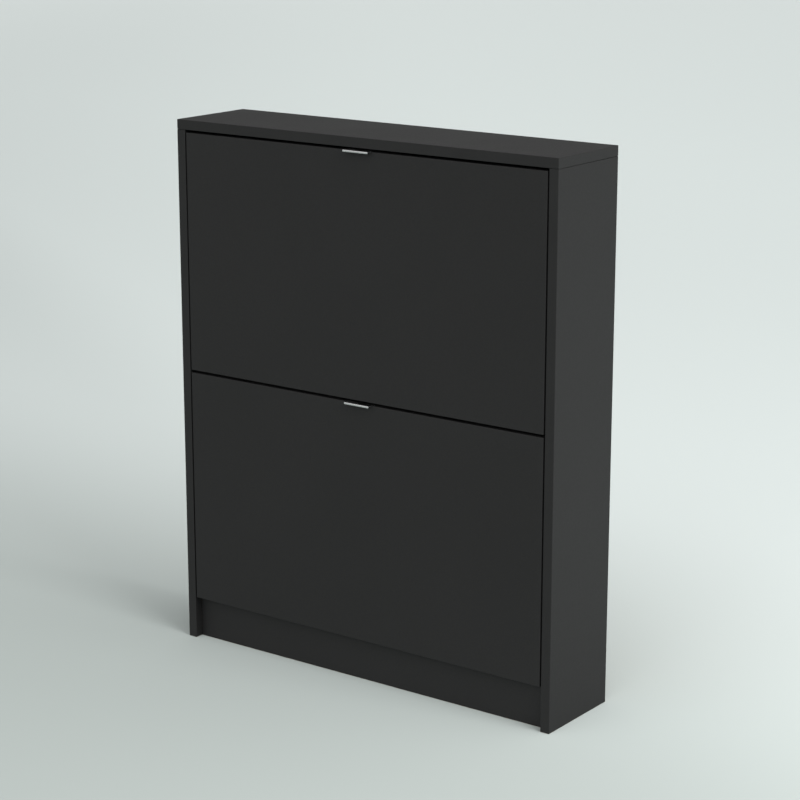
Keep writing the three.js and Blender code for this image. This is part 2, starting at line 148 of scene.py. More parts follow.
def add_math(nt, op, a, b):
    m = nt.nodes.new("ShaderNodeMath")
    m.operation = op
    for s, v in zip(m.inputs, (a, b)):
        if isinstance(v, (int, float)):
            s.default_value = v
        else:
            nt.links.new(v, s)
    return m.outputs[0]


def bump(nt, bsdf, height, strength, distance):
    b = nt.nodes.new("ShaderNodeBump")
    b.inputs["Strength"].default_value = strength
    b.inputs["Distance"].default_value = distance
    nt.links.new(height, b.inputs["Height"])
    nt.links.new(b.outputs["Normal"], bsdf.inputs["Normal"])


def make_melamine():
    """Matt black melamine face with the fine pearl press texture."""
    mat, nt, bsdf = material("melamine_black")
    v = coords(nt)
    cloud = noise_tex(nt, v, 5.0, 3.0)
    pearl = noise_tex(nt, v, 900.0, 2.0, 0.6)
    dust = noise_tex(nt, v, 260.0, 3.0, 0.7)
    base = ramp(nt, cloud, [(0.30, (0.0105, 0.0105, 0.0105)), (0.70, (0.0119, 0.0119, 0.0119))])
    flecks = ramp(nt, pearl, [(0.35, (0.84, 0.84, 0.84)), (0.65, (1.16, 1.16, 1.16))])
    col = mix_col(nt, 1.0, base, flecks, "MULTIPLY")
    nt.links.new(col, bsdf.inputs["Base Color"])
    r = add_math(nt, "ADD", span(nt, cloud, 0.575, 0.625, 0.3, 0.7), span(nt, dust, -0.03, 0.03, 0.3, 0.7))
    nt.links.new(r, bsdf.inputs["Roughness"])
    bsdf.inputs["Specular IOR Level"].default_value = 0.25
    h = add_math(nt, "ADD", pearl, add_math(nt, "MULTIPLY", dust, 0.6))
    bump(nt, bsdf, h, 0.22, 0.00006)
    return mat


def make_edge_band():
    """ABS edge banding: a shade smoother than the faces, with the faint lines of the scraper."""
    mat, nt, bsdf = material("edge_band_black")
    v = coords(nt)
    grain = noise_tex(nt, v, 700.0, 2.0, 0.5)
    cloud = noise_tex(nt, v, 14.0, 2.0)
    col = ramp(nt, cloud, [(0.3, (0.0105, 0.0105, 0.0105)), (0.7, (0.0120, 0.0120, 0.0120))])
    nt.links.new(col, bsdf.inputs["Base Color"])
    nt.links.new(span(nt, grain, 0.54, 0.61, 0.3, 0.7), bsdf.inputs["Roughness"])
    bsdf.inputs["Specular IOR Level"].default_value = 0.25
    bump(nt, bsdf, grain, 0.12, 0.00004)
    return mat


def make_chipboard():
    """Raw particleboard on unbanded edges, in grooves and in drilled holes."""
    mat, nt, bsdf = material("particleboard_raw")
    v = coords(nt, (1, 1, 1))
    chips = voronoi(nt, v, 620.0)
    big = voronoi(nt, v, 300.0)
    fine = noise_tex(nt, v, 1400.0, 3.0, 0.6)
    tone = mix_col(nt, 0.5, chips.outputs["Color"], big.outputs["Color"])
    sep = nt.nodes.new("ShaderNodeSeparateColor")
    nt.links.new(tone, sep.inputs[0])
    col = ramp(nt, sep.outputs[0], [(0.15, (0.150, 0.085, 0.042)), (0.45, (0.300, 0.190, 0.100)), (0.62, (0.385, 0.262, 0.150)), (0.9, (0.500, 0.370, 0.235))])
    dark = ramp(nt, fine, [(0.30, (0.55, 0.52, 0.50)), (0.50, (1.0, 1.0, 1.0))])
    nt.links.new(mix_col(nt, 1.0, col, dark, "MULTIPLY"), bsdf.inputs["Base Color"])
    nt.links.new(span(nt, fine, 0.78, 0.92), bsdf.inputs["Roughness"])
    h = add_math(nt, "ADD", add_math(nt, "MULTIPLY", chips.outputs["Distance"], 60.0), fine)
    bump(nt, bsdf, h, 0.45, 0.00025)
    return mat


def make_hdf(inside):
    """Thin hardboard: raw brown outside, black lacquer inside."""
    mat, nt, bsdf = material("hardboard_lacquer" if inside else "hardboard_raw")
    v = coords(nt)
    fibre = noise_tex(nt, coords(nt, (1.0, 1.0, 0.35)), 900.0, 4.0, 0.65)
    cloud = noise_tex(nt, v, 7.0, 3.0, 0.5)
    if inside:
        col = ramp(nt, cloud, [(0.3, (0.012, 0.012, 0.012)), (0.7, (0.016, 0.016, 0.016))])
        rough, s = (0.42, 0.55), 0.12
    else:
        base = ramp(nt, cloud, [(0.28, (0.196, 0.113, 0.058)), (0.5, (0.210, 0.123, 0.064)), (0.72, (0.224, 0.133, 0.071))])
        dark = ramp(nt, fibre, [(0.32, (0.72, 0.68, 0.64)), (0.55, (1.04, 1.03, 1.02))])
        col = mix_col(nt, 1.0, base, dark, "MULTIPLY")
        rough, s = (0.55, 0.74), 0.3
    nt.links.new(col, bsdf.inputs["Base Color"])
    nt.links.new(span(nt, fibre, *rough), bsdf.inputs["Roughness"])
    bump(nt, bsdf, fibre, s, 0.00008)
    return mat


def make_plastic():
    """Moulded black plastic with a fine spark-eroded texture."""
    mat, nt, bsdf = material("moulded_plastic_black")
    v = coords(nt)
    grit = noise_tex(nt, v, 1500.0, 3.0, 0.7)
    cells = voronoi(nt, v, 1100.0, "SMOOTH_F1")
    flow = noise_tex(nt, v, 18.0, 2.0, 0.5, 0.6)
    col = ramp(nt, flow, [(0.3, (0.0130, 0.0130, 0.0140)), (0.7, (0.0175, 0.0175, 0.0185))])
    nt.links.new(col, bsdf.inputs["Base Color"])
    nt.links.new(span(nt, grit, 0.40, 0.54, 0.3, 0.7), bsdf.inputs["Roughness"])
    h = add_math(nt, "ADD", grit, cells.outputs["Distance"])
    bump(nt, bsdf, h, 0.3, 0.00005)
    return mat


def make_rubber():
    mat, nt, bsdf = material("buffer_rubber")
    v = coords(nt)
    grit = noise_tex(nt, v, 1800.0, 2.0, 0.6)
    nt.links.new(ramp(nt, grit, [(0.3, (0.018, 0.018, 0.018)), (0.7, (0.030, 0.030, 0.029))]), bsdf.inputs["Base Color"])
    nt.links.new(span(nt, grit, 0.70, 0.85), bsdf.inputs["Roughness"])
    bump(nt, bsdf, grit, 0.25, 0.00004)
    return mat


def make_zinc():
    """Zinc-plated steel: soft crystalline mottling, a little dull."""
    mat, nt, bsdf = material("zinc_steel")
    v = coords(nt)
    spangle = voronoi(nt, v, 700.0)
    cloud = noise_tex(nt, v, 160.0, 3.0, 0.6)
    sep = nt.nodes.new("ShaderNodeSeparateColor")
    nt.links.new(spangle.outputs["Color"], sep.inputs[0])
    col = ramp(nt, cloud, [(0.3, (0.50, 0.51, 0.53)), (0.7, (0.63, 0.64, 0.66))])
    nt.links.new(col, bsdf.inputs["Base Color"])
    bsdf.inputs["Metallic"].default_value = 1.0
    r = add_math(nt, "ADD", span(nt, cloud, 0.28, 0.40, 0.3, 0.7), span(nt, sep.outputs[0], -0.04, 0.04))
    nt.links.new(r, bsdf.inputs["Roughness"])
    bump(nt, bsdf, cloud, 0.15, 0.00004)
    return mat


def make_aluminium():
    """Satin anodised aluminium, brushed along the pull."""
    mat, nt, bsdf = material("satin_aluminium")
    brush = noise_tex(nt, coords(nt, (0.012, 1.0, 1.0)), 5200.0, 3.0, 0.7)
    cloud = noise_tex(nt, coords(nt), 120.0, 2.0)
    nt.links.new(ramp(nt, brush, [(0.3, (0.64, 0.64, 0.645)), (0.7, (0.74, 0.74, 0.745))]), bsdf.inputs["Base Color"])
    bsdf.inputs["Metallic"].default_value = 1.0
    bsdf.inputs["Anisotropic"].default_value = 0.45
    r = add_math(nt, "ADD", span(nt, brush, 0.17, 0.24, 0.3, 0.7), span(nt, cloud, -0.02, 0.02, 0.3, 0.7))
    nt.links.new(r, bsdf.inputs["Roughness"])
    bump(nt, bsdf, brush, 0.10, 0.00002)
    return mat


M_FACE = make_melamine()
M_BAND = make_edge_band()
M_RAW = make_chipboard()
M_HDF = make_hdf(False)
M_LACQUER = make_hdf(True)
M_PLASTIC = make_plastic()
M_RUBBER = make_rubber()
M_ZINC = make_zinc()
M_ALU = make_aluminium()


# ------------------------------------------------------------------ mesh tools
def link(obj):
    bpy.context.scene.collection.objects.link(obj)
    return obj


def to_object(bm, name, mats, sharp_deg=35.0):
    """A bmesh as an object: smooth shading, hard edges kept where the surface really turns."""
    bmesh.ops.recalc_face_normals(bm, faces=bm.faces)
    lim = math.radians(sharp_deg)
    for f in bm.faces:
        f.smooth = True
    for e in bm.edges:
        e.smooth = not (len(e.link_faces) != 2 or e.calc_face_angle(0.0) > lim)
    me = bpy.data.meshes.new(name)
    bm.to_mesh(me)
    bm.free()
    for m in mats:
        me.materials.append(m)
    obj = link(bpy.data.objects.new(name, me))
    wn = obj.modifiers.new("weighted", "WEIGHTED_NORMAL")
    wn.keep_sharp = True
    wn.weight = 50
    return obj


def settle(obj):
    """Applies the modifiers, so the mesh is what is seen."""
    dg = bpy.context.evaluated_depsgraph_get()
    me = bpy.data.meshes.new_from_object(obj.evaluated_get(dg), depsgraph=dg)
    old = obj.data
    obj.modifiers.clear()
    obj.data = me
    bpy.data.meshes.remove(old)
    return obj


def from_node(name, tol=1e-6):
    bm = bmesh.new()
    bm.from_mesh(NODES[name].data)
    bmesh.ops.remove_doubles(bm, verts=bm.verts, dist=tol)
    for layer in list(bm.loops.layers.uv):
        bm.loops.layers.uv.remove(layer)
    bmesh.ops.dissolve_limit(bm, angle_limit=math.radians(0.4), verts=bm.verts, edges=bm.edges)
    return bm


def stand_for(obj, node):
    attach(obj, BODY_OF[node])
    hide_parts(node)
    return obj


AX = {"x": 0, "y": 1, "z": 2}


def board(node, bands=(), raw=(), radius=0.7 * MM, band_t=0.9 * MM):
    """A melamine-faced board: rounded arrises, real edge-band strips and raw edges.
    bands and raw name outer faces, such as "-y" for the front."""
    lo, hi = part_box(node)
    bm = from_node(node)
    eps = 2e-6

    def on(v, key):
        a = AX[key[1]]
        return abs(v.co[a] - (hi[a] if key[0] == "+" else lo[a])) < eps

    keys = [s + a for a in "xyz" for s in "+-"]
    edges = []
    for e in bm.edges:
        shared = [k for k in keys if on(e.verts[0], k) and on(e.verts[1], k)]
        if len({k[1] for k in shared}) >= 2:
            edges.append(e)
    bmesh.ops.bevel(bm, geom=edges, offset=radius, offset_type="OFFSET", segments=3, profile=0.5,
                    affect="EDGES", clamp_overlap=True)
    # strips cut along each banded edge
    for key in bands:
        a = AX[key[1]]
        at = (hi[a] - band_t) if key[0] == "+" else (lo[a] + band_t)
        co = [0.0, 0.0, 0.0]
        co[a] = at
        no = [0.0, 0.0, 0.0]
        no[a] = 1.0
        bmesh.ops.bisect_plane(bm, geom=bm.verts[:] + bm.edges[:] + bm.faces[:], plane_co=co, plane_no=no, dist=1e-7)
    bm.normal_update()
    for f in bm.faces:
        c = f.calc_center_median()
        n = f.normal
        idx = 0
        for key in bands:
            a = AX[key[1]]
            d = (hi[a] - c[a]) if key[0] == "+" else (c[a] - lo[a])
            if d < band_t - 1e-6:
                idx = 1
        for key in raw:
            a = AX[key[1]]
            d = (hi[a] - c[a]) if key[0] == "+" else (c[a] - lo[a])
            sign = 1 if key[0] == "+" else -1
            if d < radius * 0.95 and n[a] * sign > 0.35:
                idx = 2
        # grooves and drilled holes show the core
        outer = any(((hi[AX[k[1]]] - c[AX[k[1]]]) if k[0] == "+" else (c[AX[k[1]]] - lo[AX[k[1]]])) < radius * 1.05 for k in keys)
        if not outer:
            idx = 2
        f.material_index = idx
    obj = to_object(bm, node + "_board", [M_FACE, M_BAND, M_RAW])
    return stand_for(obj, node)


def lathe_bm(profile, sides):
    """A closed turned form about Z from (radius, height) pairs that start and end on the axis."""
    bm = bmesh.new()
    rings = []
    for r, h in profile:
        if r < 1e-9:
            rings.append([bm.verts.new((0, 0, h))])
        else:
            rings.append([bm.verts.new((r * math.cos(2 * math.pi * i / sides), r * math.sin(2 * math.pi * i / sides), h)) for i in range(sides)])
    for a, b in zip(rings, rings[1:]):
        for i in range(sides):
            j = (i + 1) % sides
            if len(a) == 1 and len(b) > 1:
                bm.faces.new((a[0], b[i], b[j]))
            elif len(b) == 1 and len(a) > 1:
                bm.faces.new((a[i], a[j], b[0]))
            elif len(a) > 1:
                bm.faces.new((a[i], a[j], b[j], b[i]))
    bmesh.ops.recalc_face_normals(bm, faces=bm.faces)
    return bm


def mesh_of(bm, name="scratch"):
    me = bpy.data.meshes.new(name)
    bm.to_mesh(me)
    bm.free()
    return me


def boolean(base_me, tools, op="DIFFERENCE"):
    """base_me cut by, or joined to, each tool mesh; returns a new mesh."""
    obj = link(bpy.data.objects.new("scratch_base", base_me))
    helpers = []
    for t in tools:
        h = link(bpy.data.objects.new("scratch_tool", t))
        helpers.append(h)
        m = obj.modifiers.new("b", "BOOLEAN")
        m.operation = op
        m.solver = "MANIFOLD"
        m.object = h
    dg = bpy.context.evaluated_depsgraph_get()
    me = bpy.data.meshes.new_from_object(obj.evaluated_get(dg), depsgraph=dg)
    for h in helpers:
        d = h.data
        bpy.data.objects.remove(h)
        bpy.data.meshes.remove(d)
    bpy.data.objects.remove(obj)
    return me


def box_me(xa, xb, ya, yb, za, zb):
    bm = bmesh.new()
    bmesh.ops.create_cube(bm, size=1.0)
    for v in bm.verts:
        v.co = Vector((xa + (v.co.x + 0.5) * (xb - xa), ya + (v.co.y + 0.5) * (yb - ya), za + (v.co.z + 0.5) * (zb - za)))
    bmesh.ops.recalc_face_normals(bm, faces=bm.faces)
    return mesh_of(bm)


def prism_me(outline, xa, xb):
    """An outline in (y, z) carried along X from xa to xb."""
    xa, xb = min(xa, xb), max(xa, xb)
    bm = bmesh.new()
    a = [bm.verts.new((xa, y, z)) for y, z in outline]
    b = [bm.verts.new((xb, y, z)) for y, z in outline]
    bm.faces.new(a[::-1])
    bm.faces.new(b)
    n = len(outline)
    for i in range(n):
        j = (i + 1) % n
        bm.faces.new((a[i], a[j], b[j], b[i]))
    bmesh.ops.recalc_face_normals(bm, faces=bm.faces)
    return mesh_of(bm)


def rod_me(axis, radius, a, b, u, v, sides=48):
    bm = lathe_bm([(0, a), (radius, a), (radius, b), (0, b)] if a < b else [(0, b), (radius, b), (radius, a), (0, a)], sides)
    if axis == "x":
        m = Matrix(((0, 0, 1, 0), (1, 0, 0, u), (0, 1, 0, v), (0, 0, 0, 1)))
    elif axis == "y":
        m = Matrix(((0, 1, 0, u), (0, 0, 1, 0), (1, 0, 0, v), (0, 0, 0, 1)))
    else:
        m = Matrix(((1, 0, 0, u), (0, 1, 0, v), (0, 0, 1, 0), (0, 0, 0, 1)))
    bm.transform(m)
    bmesh.ops.recalc_face_normals(bm, faces=bm.faces)
    return mesh_of(bm)


def finish_mesh(me, name, mats, bevel=0.0, segs=2, angle=40.0, sharp=35.0):
    """Rounds the arrises of a built mesh and returns the object."""
    bm = bmesh.new()
    bm.from_mesh(me)
    bpy.data.meshes.remove(me)
    bmesh.ops.remove_doubles(bm, verts=bm.verts, dist=2e-6)
    bmesh.ops.dissolve_limit(bm, angle_limit=math.radians(0.3), verts=bm.verts, edges=bm.edges)
    if bevel:
        edges = [e for e in bm.edges if len(e.link_faces) == 2 and e.calc_face_angle(0.0) > math.radians(angle)]
        bmesh.ops.bevel(bm, geom=edges, offset=bevel, offset_type="OFFSET", segments=segs, profile=0.5,
                        affect="EDGES", clamp_overlap=True)
    return to_object(bm, name, mats, sharp)


# ------------------------------------------------------------------ boards
board("side_panel_left", bands=("-y",), raw=("+y", "-z"))
board("side_panel_right", bands=("-y",), raw=("+y", "-z"))
board("top_panel", bands=("-y", "-x", "+x"), raw=("+y",))
board("plinth_board", bands=("+z",), raw=("-z", "-x", "+x"))
for n in ("rear_rail_top", "rear_rail_middle", "rear_rail_bottom"):
    board(n, bands=("-z",) if n != "rear_rail_bottom" else ("+z",), raw=("-x", "+x") + (("+z",) if n == "rear_rail_top" else ()))
for level in ("lower", "upper"):
    board(f"{level}_door_panel", bands=("-x", "+x", "-z", "+z"))
    board(f"{level}_bin_floor_board", bands=("-y",), raw=("-x", "+x", "+y"), radius=0.5 * MM)


def hardboard(node):
    """A thin board: lacquered on its inner face, raw on the other."""
    lo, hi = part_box(node)
    bm = from_node(node)
    bmesh.ops.bevel(bm, geom=[e for e in bm.edges if len(e.link_faces) == 2 and e.calc_face_angle(0.0) > 1.2 and e.calc_length() > 0.02],
                    offset=0.25 * MM, offset_type="OFFSET", segments=2, profile=0.5, affect="EDGES", clamp_overlap=True)
    bm.normal_update()
    for f in bm.faces:
        painted = f.normal.y < (0.5 if "bin" in node else -0.5)      # the bins' edges are painted too
        f.material_index = 1 if painted else 0
    obj = to_object(bm, node + "_hardboard", [M_HDF, M_LACQUER])
    return stand_for(obj, node)


for n in ("back_panel_lower", "back_panel_upper", "lower_bin_back_board", "upper_bin_back_board"):
    hardboard(n)

# flat-head nails that hold the back boards to the rails
_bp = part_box("back_panel_upper")
_nails = bmesh.new()
for z, xs in ((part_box("rear_rail_top")[0][2] + 30 * MM, (-300, -200, -100, 100, 200, 300)),
              (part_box("rear_rail_bottom")[1][2] - 32 * MM, (-300, -180, -60, 60, 180, 300))):
    for x in xs:
        one = lathe_bm([(0, -1.2 * MM), (0.7 * MM, -1.2 * MM), (0.7 * MM, 0.02 * MM), (2.0 * MM, 0.05 * MM), (2.0 * MM, 0.22 * MM), (1.7 * MM, 0.36 * MM), (0, 0.40 * MM)], 20)
        m = Matrix.Translation((x * MM, _bp[1][1], z)) @ Matrix.Rotation(-math.pi / 2, 4, "X")
        one.transform(m)
        me = mesh_of(one)
        _nails.from_mesh(me)
        bpy.data.meshes.remove(me)
nails = to_object(_nails, "back_nails", [M_ZINC])
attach(nails, "carcass")


# ------------------------------------------------------------------ pulls
def arc(cy, cz, r, a0, a1, n=6):
    return [(cy + r * math.cos(math.radians(a0 + (a1 - a0) * i / n)), cz + r * math.sin(math.radians(a0 + (a1 - a0) * i / n))) for i in range(n + 1)]


def pull(level):
    node = f"{level}_pull"
    (x0, y0, z0), (x1, y1, z1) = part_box(node)
    t = 1.2 * MM
    lip = 3.0 * MM
    r = 1.15 * MM          # outside bend
    ri = 0.35 * MM         # inside bend
    e = 0.28 * MM          # rounded raw edges
    pts = []
    # from the lip's lower edge round the front, over the top, down the rear flange, and back inside
    pts += arc(y0 + t - e, z1 - lip + e, e, 0, -90, 3)
    pts += arc(y0 + e, z1 - lip + e, e, -90, -180, 3)
    pts += arc(y0 + r, z1 - r, r, 180, 90, 6)
    pts += arc(y1 - r, z1 - r, r, 90, 0, 6)
    pts += arc(y1 - e, z0 + e, e, 0, -90, 3)
    pts += arc(y1 - t + e, z0 + e, e, -90, -180, 3)
    pts += arc(y1 - t - ri, z1 - t - ri, ri, 0, 90, 4)
    pts += arc(y0 + t + ri, z1 - t - ri, ri, 90, 180, 4)
    base = prism_me(pts, x0, x1)
    holes = []
    for side in ("left", "right"):
        (sx0, sy0, sz0), (sx1, sy1, sz1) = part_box(f"{level}_pull_screw_{side}")
        holes.append(rod_me("y", 1.9 * MM, y1 - t - MM, y1 + MM, (sx0 + sx1) / 2, (sz0 + sz1) / 2, 24))
    me = boolean(base, holes)
    bm = bmesh.new()
    bm.from_mesh(me)
    bpy.data.meshes.remove(me)
    bmesh.ops.remove_doubles(bm, verts=bm.verts, dist=1e-6)
    ends = [ed for ed in bm.edges if len(ed.link_faces) == 2 and ed.calc_face_angle(0.0) > 1.2
            and all(min(abs(v.co.x - x0), abs(v.co.x - x1)) < 1e-6 for v in ed.verts)]
    bmesh.ops.bevel(bm, geom=ends, offset=0.12 * MM, offset_type="OFFSET", segments=2, profile=0.5, affect="EDGES", clamp_overlap=True)
    obj = to_object(bm, f"{level}_pull_tab", [M_ALU], 30.0)
    return stand_for(obj, node)


for level in ("lower", "upper"):
    pull(level)


# ------------------------------------------------------------------ fasteners
def screw_mesh(length):
    """Pan head screw about Z, head up, the origin under its head, with thread ridges and a cross recess."""
    sr, hr, hh, gap = 1.6 * MM, 3.6 * MM, 2.1 * MM, 0.3 * MM
    prof = [(0, -length), (0.35 * MM, -length + 0.35 * MM)]
    pitch, z = 1.1 * MM, -length + 1.6 * MM
    core = 1.05 * MM
    prof.append((core, -length + 1.5 * MM))
    while z < -1.4 * MM:
        prof += [(core, z), (sr, z + pitch * 0.35), (sr, z + pitch * 0.45), (core, z + pitch * 0.8)]
        z += pitch
    prof += [(1.45 * MM, -1.0 * MM), (1.45 * MM, gap), (hr - 0.15 * MM, gap), (hr, gap + 0.15 * MM)]
    for i in range(8):
        a = math.radians(90 * i / 7)
        prof.append((hr * (0.30 + 0.70 * math.cos(a)), gap + 0.25 * MM + (hh - 0.25 * MM) * math.sin(a)))
    prof.append((0, gap + hh))
    base = mesh_of(lathe_bm(prof, 32))
    tools = []
    for w, l in ((0.85 * MM, 4.0 * MM), (4.0 * MM, 0.85 * MM)):
        bm = bmesh.new()
        bmesh.ops.create_cube(bm, size=1.0)
        for v in bm.verts:
            k = 1.0 if v.co.z > 0 else 0.42
            v.co = Vector((v.co.x * w * (k if w > l else 1.0), v.co.y * l * (k if l > w else 1.0), gap + hh + (0.5 * MM if v.co.z > 0 else -1.35 * MM)))
        bmesh.ops.recalc_face_normals(bm, faces=bm.faces)
        tools.append(mesh_of(bm))
    return boolean(base, tools)


def fastener(node, me, matrix, mat=None):
    data = me.copy()
    data.transform(matrix)
    bm = bmesh.new()
    bm.from_mesh(data)
    bpy.data.meshes.remove(data)
    bmesh.ops.remove_doubles(bm, verts=bm.verts, dist=1e-6)
    obj = to_object(bm, node + "_part", [mat or M_ZINC], 32.0)
    return stand_for(obj, node)


def centre(node):
    lo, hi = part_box(node)
    return (lo + hi) / 2, lo, hi


TO_PLUS_Y = Matrix.Rotation(-math.pi / 2, 4, "X")     # a head that faces +Z turned to face +Y
_screws = {}
for n in [k for k in NODES if "screw" in k]:
    c, lo, hi = centre(n)
    length = round((hi.y - lo.y) * 1000 - 2.4, 1)
    if length not in _screws:
        _screws[length] = screw_mesh(length * MM)
    spin = Matrix.Rotation(math.radians((sum(map(ord, n)) * 37) % 90), 4, "Z")
    fastener(n, _screws[length], Matrix.Translation((c.x, hi.y - 2.4 * MM, c.z)) @ TO_PLUS_Y @ spin)


def cam_mesh(drum_to, bolt_to, reach, thread_end):
    """Cam drum along drum_to with its cross slot, and the bolt that it draws in along bolt_to. The origin is the
    middle of the drum's mouth face."""
    prof = [(0, -12.2 * MM), (7.3 * MM, -12.2 * MM), (7.3 * MM, -0.5 * MM), (6.9 * MM, 0), (5.9 * MM, 0), (5.6 * MM, -0.35 * MM), (0, -0.35 * MM)]
    drum = mesh_of(lathe_bm(prof, 48))
    cuts = [box_me(-4.2 * MM, 4.2 * MM, -0.75 * MM, 0.75 * MM, -2.2 * MM, MM), box_me(-0.75 * MM, 0.75 * MM, -4.2 * MM, 4.2 * MM, -2.2 * MM, MM)]
    drum = boolean(drum, cuts)
    bolt_prof = [(0, 0), (3.0 * MM, 0), (3.0 * MM, reach - 0.5 * MM), (2.4 * MM, reach)]
    z = reach + 0.4 * MM
    while z < thread_end - 1.6 * MM:
        bolt_prof += [(1.9 * MM, z), (2.6 * MM, z + 0.45 * MM), (1.9 * MM, z + 0.9 * MM)]
        z += 1.25 * MM
    bolt_prof += [(1.9 * MM, thread_end - 0.7 * MM), (1.2 * MM, thread_end), (0, thread_end)]
    bolt = mesh_of(lathe_bm(bolt_prof, 28))
    b = Vector(bolt_to)
    d = Vector(drum_to)
    rot_d = d.to_track_quat("Z", "Y").to_matrix().to_4x4()
    rot_b = b.to_track_quat("Z", "Y").to_matrix().to_4x4()
    drum.transform(rot_d)
    bolt.transform(Matrix.Translation(-d * 7.4 * MM) @ rot_b)
    return boolean(drum, [bolt], "UNION")


for n in [k for k in NODES if "_cam_" in k]:
    c, lo, hi = centre(n)
    if n.startswith("top_cam"):
        s = 1 if c.x > 0 else -1
        mouth = Vector((lo.x if s > 0 else hi.x, c.y, lo.z + 7.3 * MM))
        me = cam_mesh((-s, 0, 0), (0, 0, 1), 33.7 * MM, 44.7 * MM)
    else:
        s = 1 if c.x > 0 else -1
        mouth = Vector((lo.x + 7.3 * MM if s > 0 else hi.x - 7.3 * MM, hi.y, c.z))
        me = cam_mesh((0, 1, 0), (s, 0, 0), 33.7 * MM, 44.7 * MM)
    fastener(n, me, Matrix.Translation(mouth))
    bpy.data.meshes.remove(me)

for n in [k for k in NODES if k.startswith("pivot_bush")]:
    c, lo, hi = centre(n)
    s = 1 if c.x > 0 else -1
    prof = [(0, 10.6), (5.5, 10.6), (5.9, 10.2), (5.9, 7.4), (5.6, 7.1), (5.9, 6.8), (5.9, 4.4), (5.6, 4.1), (5.9, 3.8), (5.9, -0.3),
            (8.3, -0.3), (8.5, -0.5), (8.5, -0.8), (8.4, -0.95), (8.0, -1.2), (4.6, -1.2), (4.2, -1.1), (4.0, -0.7), (4.0, 9.7), (0, 9.7)]
    me = mesh_of(lathe_bm([(r * MM, h * MM) for r, h in reversed(prof)], 48))
    rot = Vector((s, 0, 0)).to_track_quat("Z", "Y").to_matrix().to_4x4()
    fastener(n, me, Matrix.Translation((s * INNER, c.y, c.z)) @ rot, M_PLASTIC)

for n in [k for k in NODES if k.startswith("stop_pin")]:
    c, lo, hi = centre(n)
    s = 1 if c.x > 0 else -1
    prof = [(0, -5.6), (1.9, -5.6), (2.3, -5.45), (2.5, -5.0), (2.5, 1.0), (2.4, 1.2), (2.5, 1.4), (2.5, 9.4), (2.1, 10), (0, 10)]
    me = mesh_of(lathe_bm([(r * MM, h * MM) for r, h in prof], 36))
    rot = Vector((s, 0, 0)).to_track_quat("Z", "Y").to_matrix().to_4x4()
    fastener(n, me, Matrix.Translation((s * INNER, c.y, c.z)) @ rot)

for n in [k for k in NODES if k.startswith("door_buffer")]:
    c, lo, hi = centre(n)
    s = 1 if c.x > 0 else -1
    prof = [(0, -8), (2.2, -8), (3.1, -7.8), (3.7, -7.3), (4.0, -6.5), (4.0, -0.6), (3.8, -0.3), (2.5, -0.3), (2.5, 7.3), (1.9, 8), (0, 8)]
    me = mesh_of(lathe_bm([(r * MM, h * MM) for r, h in prof], 36))
    rot = Vector((s, 0, 0)).to_track_quat("Z", "Y").to_matrix().to_4x4()
    fastener(n, me, Matrix.Translation((s * INNER, c.y, c.z)) @ rot, M_RUBBER)


def softened(node, mats, radius, segs=2, angle=50.0):
    bm = from_node(node)
    edges = [e for e in bm.edges if len(e.link_faces) == 2 and e.calc_face_angle(0.0) > math.radians(angle)]
    bmesh.ops.bevel(bm, geom=edges, offset=radius, offset_type="OFFSET", segments=segs, profile=0.5, affect="EDGES", clamp_overlap=True)
    return stand_for(to_object(bm, node + "_part", mats), node)


softened("back_joint_strip", [M_PLASTIC], 0.18 * MM)
softened("wall_hanger_plate", [M_ZINC], 0.2 * MM)


# ------------------------------------------------------------------ tilt brackets
def bezier(p0, p1, p2, p3, n):
    out = []
    for i in range(n + 1):
        t = i / n
        k = (1 - t) ** 3, 3 * t * (1 - t) ** 2, 3 * t * t * (1 - t), t ** 3
        out.append((sum(a * p[0] for a, p in zip(k, (p0, p1, p2, p3))), sum(a * p[1] for a, p in zip(k, (p0, p1, p2, p3)))))
    return out


